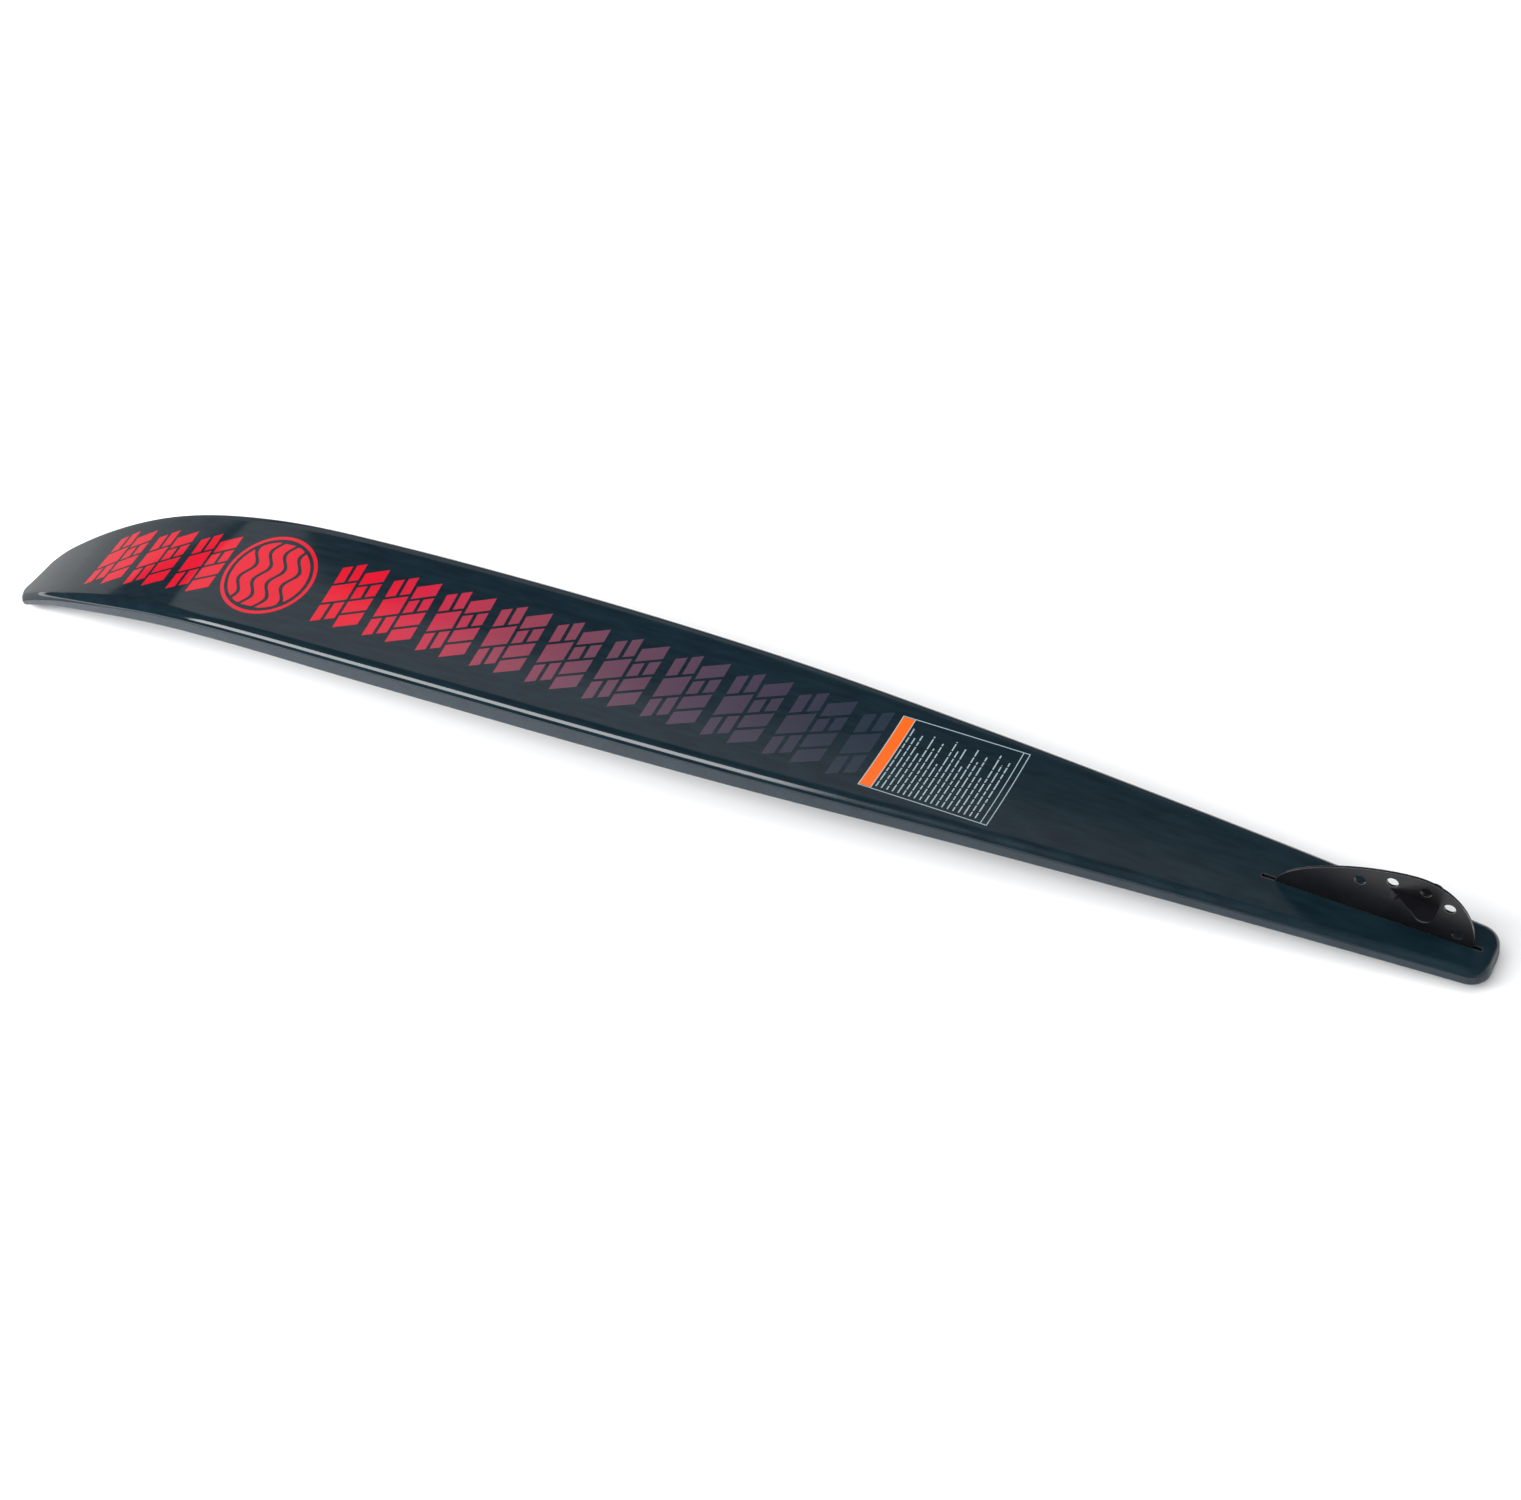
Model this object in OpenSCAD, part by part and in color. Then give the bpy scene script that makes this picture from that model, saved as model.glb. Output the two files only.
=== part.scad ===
// Slalom water ski lying base-up, with its adjustable fin block, fin and wings.
// +X runs towards the tail, +Y to one rail and +Z out of the base. The origin is on the floor,
// under the middle of the ski, which rests on its tip and on the rear end of its fin block.

/* [Outline] */
// Overall length from tip to tail
ski_length = 1702; // [1600:1:1760]
// Half-widths at 0, 5, 10 and 20 % of the length
tip_half_widths = [41, 59, 73.5, 85]; // [30:0.5:100]
// Half-widths at 30, 40, 50 and 60 % of the length
body_half_widths = [87.5, 86.5, 83.5, 77]; // [60:0.5:100]
// Half-widths at 70, 80, 90 and 100 % of the length
tail_half_widths = [66, 54, 41.5, 28]; // [26:0.5:90]
// Radius of the corners of the tip, seen from above
tip_corner = 30; // [20:1:34]
// Radius of the corners of the tail, seen from above
tail_corner = 17; // [12:1:20]

/* [Rocker] */
// Height that the base climbs over the turned-up front
tip_kick = 99.5; // [80:0.5:120]
// Length of the turned-up front
tip_kick_length = 473; // [400:1:560]
// Height of the even bow over the whole length
bow = 34; // [25:0.5:45]
// Height that the tail lies below the end of the turned-up front
tail_drop = 83.5; // [80:0.5:90]

/* [Section] */
// Thickness at the tip
tip_thickness = 12.2; // [11:0.1:14]
// Greatest thickness, at two fifths of the length
mid_thickness = 24; // [21:0.5:28]
// Thickness at the tail
tail_thickness = 16; // [15.5:0.1:17]
// Depth of the tunnel along the base
tunnel = 2.5; // [0:0.5:5]
// Width of the rounding along the rails
rail_round = 7; // [4:0.5:9]
// Fullness of that rounding: 2 is an ellipse, 1 a straight bevel
rail_power = 1.5; // [1.3:0.1:2]
// Drop from the centre of the base to the seam between the two shells
seam_drop = 5; // [4:0.5:6]
// Thickness of both shells
shell_wall = 1.3; // [1:0.1:1.5]

/* [Binding inserts] */
// Distances from the tip to the rows of inserts of the front binding
front_rows = [720, 890]; // [650:1:940]
// Distances from the tip to the rows of inserts of the rear binding
rear_rows = [1010, 1180]; // [960:1:1240]
// Distance across the front binding's inserts
front_insert_span = 76.2; // [60:0.1:90]
// Distance across the rear binding's inserts
rear_insert_span = 63.5; // [50:0.1:76]
// Nominal diameter of the inserts' thread
insert_thread = 6.35; // [5:0.05:6.5]

/* [Fin] */
// Height of the fin above the base
fin_depth = 62.3; // [50:0.1:66]
// Distance from the tail to the fin's trailing edge
fin_from_tail = 17.7; // [17:0.1:20]
// Length of the fin at the base
fin_chord = 172.8; // [165:0.1:174]
// Distance from the trailing edge to the highest point
fin_peak = 52.3; // [40:0.1:70]
// Thickness of the fin
fin_t = 2.3; // [2:0.1:2.4]
// Diameter of the holes in the fin
fin_hole = 10; // [6:0.5:12]

/* [Wings] */
// Distance from the tail to the wings' trailing edges
wing_from_tail = 51.8; // [48:0.1:56]
// Length of a wing along the fin
wing_chord = 41.3; // [38:0.1:44]
// Distance that a wing stands out from the fin
wing_span = 20.3; // [15:0.1:26]
// Thickness of a wing
wing_t = 1.5; // [1:0.1:1.6]
// Angle between the wings and the base
wing_angle = 5; // [5:0.5:6]

/* [Fin block] */
// Travel of the fin towards the tip
travel_to_tip = 8; // [4:0.5:8]
// Travel of the fin towards the tail
travel_to_tail = 5; // [3:0.5:5]
// Travel of the fin in depth, each way
depth_travel = 1.2; // [0.6:0.1:1.2]
// Distances from the tail to the ends of the clamp rails
rail_ends = [12, 208]; // [12:1:208]
// Thickness of the rails' flanges
flange_t = 3.2; // [2.5:0.1:3.5]
// Distance across the outer edges of the rails' flanges
flange_span = 40; // [38:0.5:42]

/* [Hidden] */
$fn = 48;

eps = 0.01;             // overlap of solids that are joined
bond_gap = 0.1;         // glue line between the shells, and between them and the core
run_gap = 0.05;         // radial clearance of a screw or pin in its hole
free_gap = 0.3;         // clearance between pieces that move past each other
loose_gap = 0.2;        // radial clearance of a screw that only passes through a hole
screw_past_nut = 0.3;   // how far a screw's end stands out of its nut
through = 40;           // reach of a cut that runs right out of its solid

// ---- the ski's curves, along s, the distance from the tip -------------------------------------

width_stations = [0, 0.05, 0.1, 0.2, 0.3, 0.4, 0.5, 0.6, 0.7, 0.8, 0.9, 1];
half_widths = concat(tip_half_widths, body_half_widths, tail_half_widths);
last_station = len(width_stations) - 1;

// Slope of the outline between two stations, and at a station
function step_slope(i) =
    (half_widths[i + 1] - half_widths[i]) / (width_stations[i + 1] - width_stations[i]);
function station_slope(i) =
    i == 0 ? step_slope(0) :
    i == last_station ? step_slope(last_station - 1) :
    let (before = width_stations[i] - width_stations[i - 1],
         after = width_stations[i + 1] - width_stations[i])
    (step_slope(i - 1) * after + step_slope(i) * before) / (before + after);

// Smooth curve through the stations
function station_before(u, i = 0) =
    i == last_station - 1 || u < width_stations[i + 1] ? i : station_before(u, i + 1);
function outline(u) =
    let (i = station_before(u),
         step = width_stations[i + 1] - width_stations[i],
         t = (u - width_stations[i]) / step)
    half_widths[i] * (2 * t^3 - 3 * t^2 + 1) + half_widths[i + 1] * (3 * t^2 - 2 * t^3)
    + step * (station_slope(i) * (t^3 - 2 * t^2 + t) + station_slope(i + 1) * (t^3 - t^2));

// How far the outline is drawn in at a distance from an end, to round the corner there
function corner_cut(distance, radius) =
    distance >= radius ? 0 : radius - sqrt(max(0, radius^2 - (radius - distance)^2));
function half_width(s) =
    outline(s / ski_length) - corner_cut(s, tip_corner) - corner_cut(ski_length - s, tail_corner);

// Height of the middle of the base above the floor
function kick_share(s) = 1 - max(0, 1 - s / tip_kick_length)^2.5;
function base_z(s) =
    let (u = s / ski_length)
    tip_thickness + tip_kick * kick_share(s) + 4 * bow * u * (1 - u) - tail_drop * u;

thickest_at = 0.4;
function thickness(s) =
    let (u = s / ski_length)
    u < thickest_at
        ? mid_thickness - (mid_thickness - tip_thickness) * (1 - u / thickest_at)^2
        : tail_thickness + (mid_thickness - tail_thickness)
            * (1 + cos(180 * (u - thickest_at) / (1 - thickest_at))) / 2;
function deck_z(s) = base_z(s) - thickness(s);
function tunnel_depth(s) = tunnel * sqrt(max(0, sin(180 * s / ski_length)));
function seam_z(s) = base_z(s) - seam_drop;

// ---- cross-sections: lists of [y, z], from the +Y seam over to the -Y seam --------------------

edge_steps = 3;
tunnel_steps = 2;
deck_round = 3;

function mirrored(half) =
    concat(half, [for (i = [len(half) - 1:-1:0]) if (half[i][0] > eps) [-half[i][0], half[i][1]]]);

// The base, drawn in by an inset: a quarter superellipse up from the seam, then half of the tunnel
function base_profile(s, inset) =
    let (w = half_width(s) - inset,
         flat = w - rail_round,
         ridge = base_z(s) + tunnel_depth(s) - inset,
         bottom = seam_z(s) + bond_gap / 2)
    mirrored(concat(
        [for (i = [0:edge_steps]) let (a = 90 * i / edge_steps)
            [flat + rail_round * cos(a)^(2 / rail_power),
             bottom + (ridge - bottom) * sin(a)^(2 / rail_power)]],
        [for (i = [1:tunnel_steps]) let (t = 1 - i / tunnel_steps)
            [flat * t, ridge - tunnel_depth(s) * (1 - t^2)]]));

// The deck and side walls, drawn in by an inset
function deck_profile(s, inset) =
    let (w = half_width(s) - inset,
         bottom = deck_z(s) + inset)
    mirrored([
        [w, seam_z(s) - bond_gap / 2],
        [w, bottom + deck_round],
        [w - deck_round * (1 - cos(45)), bottom + deck_round * (1 - sin(45))],
        [w - deck_round, bottom],
        [(w - deck_round) / 2, bottom],
        [0, bottom]]);

// The same number of points spread along the seam, with a dent that keeps them off one line
function flattened(profile, dent) =
    let (last = len(profile) - 1)
    [for (i = [0:last])
        [profile[0][0] * (1 - 2 * i / last), profile[0][1] + (i == 0 || i == last ? 0 : dent)]];
function reversed(list) = [for (i = [len(list) - 1:-1:0]) list[i]];

// Distances from the tip at which the cross-sections are taken
end_wall = 1.5;
dent = 0.3;
tip_rows = [0, 0.7, end_wall, 5, 13, tip_corner];
tail_rows = [tail_corner, 7, 3, end_wall, 0.7, 0];
kick_steps = 9;
body_steps = 13;
body_length = ski_length - tip_kick_length - tail_corner;
rows = concat(
    tip_rows,
    [for (i = [1:kick_steps]) tip_corner + i * (tip_kick_length - tip_corner) / kick_steps],
    [for (i = [1:body_steps - 1]) tip_kick_length + i * body_length / body_steps],
    [for (d = tail_rows) ski_length - d]);
function is_wall(s) = s < end_wall - eps || s > ski_length - end_wall + eps;
// The inner profiles of a shell, closed up inside the walls at the tip and the tail
function walled(inner, dent) =
    [for (k = [0:len(rows) - 1]) is_wall(rows[k]) ? flattened(inner[k], dent) : inner[k]];

// Solid between an upper and a lower profile, both with the same number of points, at every place
module loft(uppers, lowers, places) {
    half = len(uppers[0]);
    n = 2 * half;
    last = len(places) - 1;
    points = [for (k = [0:last]) for (p = concat(uppers[k], reversed(lowers[k])))
        [places[k] - ski_length / 2, p[0], p[1]]];
    skin = [for (k = [0:last - 1]) for (i = [0:n - 1])
        let (a = k * n + i, b = k * n + (i + 1) % n)
        each [[a, a + n, b], [b, a + n, b + n]]];
    tip_cap = [for (i = [0:half - 2]) each i < half / 2
        ? [[i, i + 1, n - 1 - i], [n - 1 - i, i + 1, n - 2 - i]]
        : [[i, i + 1, n - 2 - i], [n - 1 - i, i, n - 2 - i]]];
    tail_cap = [for (f = tip_cap) [for (i = [2:-1:0]) last * n + f[i]]];
    polyhedron(points, concat(skin, tip_cap, tail_cap), convexity = 6);
}

// ---- frames ------------------------------------------------------------------------------------

// On the deck between two rows of inserts: +Z points into the ski, X runs along the deck
module on_deck(row_pair) {
    ends = [for (s = row_pair) [s - ski_length / 2, 0, deck_z(s)]];
    run = ends[1] - ends[0];
    translate((ends[0] + ends[1]) / 2)
        rotate([0, -atan2(run[2], run[0]), 0])
            children();
}
function row_spacing(row_pair) =
    norm([row_pair[1] - row_pair[0], deck_z(row_pair[1]) - deck_z(row_pair[0])]);

// At the fin: the origin is the end of the base at the tail, X is minus the distance from the
// tail along the base, and +Z stands out of the base
fin_zone = 200;
fin_tilt = atan2(base_z(ski_length - fin_zone) - base_z(ski_length), fin_zone);
module at_fin() {
    translate([ski_length / 2, 0, base_z(ski_length)])
        rotate([0, fin_tilt, 0])
            children();
}

// Places along the fin block: [distance from the tail, distance across, height]
module at(distance, across, height) {
    translate([-distance, across, height])
        children();
}

// Block with a length along the ski, a width across it and a height range
module block(distances, half_w, heights) {
    translate([-distances[1], -half_w, heights[0]])
        cube([distances[1] - distances[0], 2 * half_w, heights[1] - heights[0]]);
}

// Upright rod between two heights
module upright(radius, heights) {
    translate([0, 0, heights[0]])
        cylinder(r = radius, h = heights[1] - heights[0]);
}

// Rod across the ski, between two values of y
module across(radius, ys) {
    translate([0, ys[0], 0])
        rotate([-90, 0, 0])
            cylinder(r = radius, h = ys[1] - ys[0]);
}

// Rod along the ski between two distances from the tail
module along(radius, distances) {
    translate([-distances[1], 0, 0])
        rotate([0, 90, 0])
            cylinder(r = radius, h = distances[1] - distances[0]);
}

// Rod with round-ended plan along the ski, standing between two heights
module stadium(distances, half_w, heights) {
    block([distances[0] + half_w, distances[1] - half_w], half_w, heights);
    for (d = [distances[0] + half_w, distances[1] - half_w])
        at(d, 0, 0) upright(half_w, heights);
}

module hexagon(across_flats, heights) {
    translate([0, 0, heights[0]])
        cylinder(r = across_flats / sqrt(3), h = heights[1] - heights[0], $fn = 6);
}

// Screw that starts with its head at z = 0 and points along +Z.
// head is [radius, height, width of the key across its flats, depth of the key's socket]
module socket_screw(head, radius, length) {
    difference() {
        union() {
            upright(head[0], [0, head[1]]);
            upright(radius, [head[1] - eps, head[1] + length]);
        }
        hexagon(head[2], [-1, head[3]]);
    }
}

module hex_nut(across_flats, height, thread_radius) {
    difference() {
        hexagon(across_flats, [0, height]);
        upright(thread_radius + run_gap, [-1, height + 1]);
    }
}

// Turn +Z to point to -Y, or to the tail
module to_right() { rotate([90, 0, 0]) children(); }
module to_tail() { rotate([0, 90, 0]) children(); }

// ---- heights in the fin block ------------------------------------------------------------------

pad_top = -tail_thickness - 1;            // face of the raised pad that the rails sit on
pad_ends = [5, 215];
pad_half = 22;
pad_t = 1.8;
rail_foot = -(base_z(ski_length) + rail_ends[0] * sin(fin_tilt)) / cos(fin_tilt);
lip_t = 2.4;
lip_foot = pad_top - lip_t;               // the lips grip the fin between pad_top and here
nut_h = 3.4;
nut_top = lip_foot - free_gap - depth_travel;
tang_foot = nut_top - nut_h;
carriage_top = tang_foot - depth_travel - free_gap;
carriage_foot = rail_foot + free_gap;
leg_inner = 5.2;
leg_outer = 9.2;
carriage_half = leg_inner - free_gap;

flange_foot = pad_top - flange_t;
flange_edge = flange_span / 2;
fin_grip = 0.1;                           // play of the fin between the lips, each side

fore_aft_r = 2.5;
fore_aft_z = lip_foot - leg_inner;        // as far from the lips as from the legs
fore_aft_end = 174;                       // end of the fore-and-aft screw's thread
bridge_len = 12;
bridge_middles = [rail_ends[0] + bridge_len / 2, rail_ends[1] - bridge_len / 2];
lug_ends = [175, 187];
carriage_ends = [30, lug_ends[1]];
depth_screw_r = 2;
depth_screws = [60, 150];                 // distances from the tail: rear, front
tang_ends = [46, 163];
rail_screw_r = 2.5;
rail_screw_y = 14.6;
rail_screw_places = [28, 82, 136, 190];
pinch_r = 1.5;
pinch_nut = [5.5, 2.4];                   // across the flats, height
pinch_z = flange_foot - pinch_nut[0] / sqrt(3) - run_gap;
pinch_places = [96, 122];
bridge_screw_r = 1.25;
bridge_screw_from = fore_aft_r + 0.5;     // the screws stop short of the fore-and-aft screw
wing_nut_size = [7, 2.4];
wing_screw_r = 2;

// Screw heads, as socket_screw takes them
rail_head = [4.5, 2.6, 3, 1.6];
bridge_head = [2.25, 1.6, 2, 0.9];
pinch_head = [2.75, 2.4, 2.5, 1.4];
fore_aft_head = [4.2, 3.8, 3, 2.4];
depth_head = [3.4, 1.75, 2, 1.2];
wing_head = [3.6, 2, 2.5, 1.2];
bridge_screw_z = flange_foot - bridge_head[0] - loose_gap;

slot_ends = [10.5, 203];
slot_half = fin_t / 2 + 0.35;
liner_wall = 1;
liner_ends = [slot_ends[0] - liner_wall, slot_ends[1] + liner_wall];
liner_half = slot_half + liner_wall;

plate_heights = [-13.6, -7.6];            // the plate inside the core that holds the fin block
fin_plate_ends = [7, 213];
fin_plate_half = 20;
block_insert_r = 4;

// ---- the ski -----------------------------------------------------------------------------------

// Passage through the ski for the slot's liner
module liner_passage() {
    at_fin() stadium([liner_ends[0] - run_gap, liner_ends[1] + run_gap], liner_half + run_gap,
                     [-2 * tail_thickness, tail_thickness]);
}

module base_shell() {
    inner = [for (s = rows) base_profile(s, shell_wall)];
    floors = walled(inner, dent);
    color("midnightblue") difference() {
        loft([for (s = rows) base_profile(s, 0)], floors, rows);
        liner_passage();
    }
}

module top_shell() {
    inner = [for (s = rows) deck_profile(s, shell_wall)];
    ceilings = walled(inner, -dent);
    color("slategray") difference() {
        union() {
            loft(ceilings, [for (s = rows) deck_profile(s, 0)], rows);
            at_fin() stadium(pad_ends, pad_half, [pad_top, pad_top + pad_t]);
        }
        liner_passage();
        insert_passages(front_rows, front_insert_span);
        insert_passages(rear_rows, rear_insert_span);
        at_fin() block_screw_places()
            upright(rail_screw_r + loose_gap, [pad_top - 1, plate_heights[1]]);
    }
}

module foam_core() {
    gap = shell_wall + bond_gap;
    core_rows = [for (s = rows) if (s > end_wall + gap && s < ski_length - end_wall - gap) s];
    uppers = [for (s = core_rows) base_profile(s, gap)];
    lowers = [for (s = core_rows) deck_profile(s, gap)];
    color("khaki") difference() {
        loft(uppers, lowers, core_rows);
        liner_passage();
        plate_pocket(front_rows, front_insert_span);
        plate_pocket(rear_rows, rear_insert_span);
        at_fin() block([fin_plate_ends[0] - bond_gap, fin_plate_ends[1] + bond_gap],
                       fin_plate_half + bond_gap, [-2 * tail_thickness, plate_heights[1] + bond_gap]);
    }
}

// ---- binding inserts ---------------------------------------------------------------------------

insert_r = 4.75;
insert_h = 12;
insert_sunk = 0.1;                        // how far the sleeves end inside the deck's face
insert_blind = 2;                         // closed end of a sleeve
insert_flange_r = 7;
insert_flange_t = 1.5;
insert_plate_t = 3;
insert_plate_margin = 15;
plate_from_deck = shell_wall + bond_gap + 0.4;

module insert_places(row_pair, span) {
    on_deck(row_pair)
        for (x = [-1, 1] * row_spacing(row_pair) / 2)
            for (y = [-1, 1] * span / 2)
                translate([x, y, 0]) children();
}

module insert_passages(row_pair, span) {
    insert_places(row_pair, span) upright(insert_r + run_gap, [-2, insert_h / 2]);
}

module insert_sleeves(row_pair, span) {
    flange_foot = plate_from_deck + insert_plate_t;
    insert_places(row_pair, span) difference() {
        union() {
            upright(insert_r, [insert_sunk, insert_h]);
            upright(insert_flange_r, [flange_foot, flange_foot + insert_flange_t]);
        }
        upright(insert_thread / 2, [-1, insert_h - insert_blind]);
    }
}

module insert_plate(row_pair, span) {
    long = row_spacing(row_pair) + 2 * insert_plate_margin;
    wide = span + 2 * insert_plate_margin;
    difference() {
        on_deck(row_pair)
            translate([-long / 2, -wide / 2, plate_from_deck])
                cube([long, wide, insert_plate_t]);
        insert_places(row_pair, span) upright(insert_r + run_gap, [0, insert_h]);
    }
}

// Room in the core for a plate and its inserts, open to the deck
module plate_pocket(row_pair, span) {
    long = row_spacing(row_pair) + 2 * (insert_plate_margin + bond_gap);
    wide = span + 2 * (insert_plate_margin + bond_gap);
    plate_face = plate_from_deck + insert_plate_t;
    on_deck(row_pair)
        translate([-long / 2, -wide / 2, plate_face + bond_gap / 2 - tail_thickness / 2])
            cube([long, wide, tail_thickness / 2]);
    insert_places(row_pair, span) {
        upright(insert_r + bond_gap, [0, insert_h + bond_gap]);
        upright(insert_flange_r + bond_gap, [0, plate_face + insert_flange_t + bond_gap]);
    }
}

module front_insert_plate() { color("darkkhaki") insert_plate(front_rows, front_insert_span); }
module rear_insert_plate() { color("darkkhaki") insert_plate(rear_rows, rear_insert_span); }
module front_binding_inserts() { color("gold") insert_sleeves(front_rows, front_insert_span); }
module rear_binding_inserts() { color("gold") insert_sleeves(rear_rows, rear_insert_span); }

// ---- fin block, fixed pieces -------------------------------------------------------------------

module block_screw_places() {
    for (d = rail_screw_places)
        for (side = [-1, 1])
            at(d, side * rail_screw_y, 0) children();
}

module fin_insert_plate() {
    color("darkkhaki") at_fin() difference() {
        block(fin_plate_ends, fin_plate_half, plate_heights);
        stadium([liner_ends[0] - run_gap, liner_ends[1] + run_gap], liner_half + run_gap, [-through, 0]);
        block_screw_places() upright(block_insert_r + run_gap / 2, [-through, 0]);
    }
}

module fin_block_inserts() {
    color("gold") at_fin() block_screw_places() difference() {
        upright(block_insert_r, plate_heights);
        upright(rail_screw_r + run_gap, [-through, 0]);
    }
}

module slot_liner() {
    color("silver") at_fin() difference() {
        stadium(liner_ends, liner_half, [pad_top, 0]);
        stadium(slot_ends, slot_half, [pad_top - 1, 1]);
    }
}

// L-shaped rail on the +Y side: a flange on the deck, a lip against the fin and a hanging leg
module fin_rail() {
    grip = fin_t / 2 + fin_grip;
    bevel = 0.6;
    section = [
        [grip, pad_top], [flange_edge, pad_top], [flange_edge, flange_foot + bevel],
        [flange_edge - bevel, flange_foot], [leg_outer, flange_foot], [leg_outer, rail_foot + bevel],
        [leg_outer - bevel, rail_foot], [leg_inner, rail_foot], [leg_inner, lip_foot], [grip, lip_foot]
    ];
    difference() {
        translate([-rail_ends[0], 0, 0])
            rotate([90, 0, -90])
                linear_extrude(rail_ends[1] - rail_ends[0])
                    polygon([for (p = section) [-p[0], p[1]]]);
        for (d = rail_screw_places)
            at(d, rail_screw_y, 0) upright(rail_screw_r + loose_gap, [-through, 0]);
        for (d = pinch_places)
            at(d, 0, pinch_z) across(pinch_r + loose_gap, [0, through]);
        for (d = bridge_middles)
            at(d, 0, bridge_screw_z) across(bridge_screw_r + run_gap, [0, through]);
    }
}

module fin_rail_left() { color("dimgray") at_fin() fin_rail(); }
module fin_rail_right() { color("dimgray") at_fin() mirror([0, 1, 0]) fin_rail(); }

module rail_screws() {
    head_foot = flange_foot - rail_head[1];
    color("silver") at_fin() block_screw_places()
        translate([0, 0, head_foot]) socket_screw(rail_head, rail_screw_r, plate_heights[1] - flange_foot);
}

// Block that ties the two rails together at an end
module bridge(middle) {
    difference() {
        block([middle - bridge_len / 2, middle + bridge_len / 2], leg_inner, [carriage_foot, lip_foot]);
        for (side = [0, 1])
            mirror([0, side, 0])
                at(middle, 0, bridge_screw_z) across(bridge_screw_r + run_gap, [bridge_screw_from, through]);
        children();
    }
}

module front_bridge() {
    color("gray") at_fin() bridge(bridge_middles[1])
        at(bridge_middles[1], 0, fore_aft_z) along(fore_aft_r + run_gap, [-bridge_len, bridge_len]);
}
module rear_bridge() {
    color("gray") at_fin() bridge(bridge_middles[0]);
}

module bridge_screws() {
    color("silver") at_fin()
        for (d = bridge_middles)
            for (side = [0, 1])
                mirror([0, side, 0])
                    at(d, leg_outer + bridge_head[1], bridge_screw_z)
                        to_right() socket_screw(bridge_head, bridge_screw_r, leg_outer - bridge_screw_from);
}

module pinch_bolts() {
    length = 2 * leg_outer + pinch_nut[1] + screw_past_nut;
    color("silver") at_fin()
        for (d = pinch_places)
            at(d, leg_outer + pinch_head[1], pinch_z)
                to_right() socket_screw(pinch_head, pinch_r, length);
}

module pinch_nuts() {
    color("silver") at_fin()
        for (d = pinch_places)
            at(d, -leg_outer, pinch_z)
                to_right() hex_nut(pinch_nut[0], pinch_nut[1], pinch_r);
}

// ---- fin block, moving pieces ------------------------------------------------------------------

recess_h = depth_head[1] + run_gap;       // depth of the recess for a depth screw's head

module fin_carriage() {
    thread_cut = [fore_aft_end - travel_to_tip - 1, lug_ends[1] + 1];
    color("gray") at_fin() difference() {
        union() {
            block(carriage_ends, carriage_half, [carriage_foot, carriage_top]);
            block(lug_ends, carriage_half, [carriage_foot, lip_foot - free_gap]);
        }
        for (d = depth_screws)
            at(d, 0, 0) {
                upright(depth_screw_r + run_gap, [-through, 0]);
                upright(depth_head[0] + run_gap, [-through, carriage_foot + recess_h]);
            }
        at(0, 0, fore_aft_z) along(fore_aft_r + run_gap, thread_cut);
    }
}

module fore_aft_screw() {
    head_face = rail_ends[1] + loose_gap;
    color("silver") at_fin() at(head_face + fore_aft_head[1], 0, fore_aft_z)
        to_tail() socket_screw(fore_aft_head, fore_aft_r, head_face - fore_aft_end);
}

module depth_screw(distance) {
    tip = nut_top + screw_past_nut;
    color("silver") at_fin() at(distance, 0, carriage_foot)
        socket_screw(depth_head, depth_screw_r, tip - carriage_foot - depth_head[1]);
}
module rear_depth_screw() { depth_screw(depth_screws[0]); }
module front_depth_screw() { depth_screw(depth_screws[1]); }

// Threaded block let into the edge of the tang, with a slit at each end that takes the plate
nut_core = 5;
nut_end = 8;
nut_half = 4.5;
module depth_nut(distance) {
    color("gray") at_fin() at(distance, 0, 0) difference() {
        block([-nut_end, nut_end], nut_half, [tang_foot, nut_top]);
        for (ends = [[-nut_end - 1, -nut_core], [nut_core, nut_end + 1]])
            block(ends, fin_t / 2 + run_gap, [tang_foot - 1, nut_top + 1]);
        upright(depth_screw_r + run_gap, [-through, 0]);
    }
}
module rear_depth_nut() { depth_nut(depth_screws[0]); }
module front_depth_nut() { depth_nut(depth_screws[1]); }

// ---- fin ---------------------------------------------------------------------------------------

// Outline above the base: two superellipse quarters that share the highest point
outline_steps = 24;
nose_power = 1.53;
tail_power = 2.1;
peak_at = fin_from_tail + fin_peak;
function quarter(reach, power) =
    [for (i = [0:outline_steps]) let (a = 90 * i / outline_steps)
        [reach * cos(a)^(2 / power), fin_depth * sin(a)^(2 / power)]];
module fin_outline() {
    front = quarter(fin_chord - fin_peak, nose_power);
    rear = quarter(fin_peak, tail_power);
    polygon(concat(
        [for (p = front) [-peak_at - p[0], p[1]]],
        [for (i = [outline_steps - 1:-1:0]) [-peak_at + rear[i][0], rear[i][1]]]));
}

// Holes above the base: [distance from the tail, height]
fin_holes = [[118.8, 37], [91.9, 47.4], [63.6, 48.8], [42.4, 38.4], [32.9, 9.4]];

wing_pivot = [84, 30.4];                  // distance from the tail, and height
lock_reach = 22;                          // from the pivot to the lock screw
lock_swing = 6;                           // degrees of slot each way
fin_cut = 5;                              // reach of a cut through the fin, each way

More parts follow.
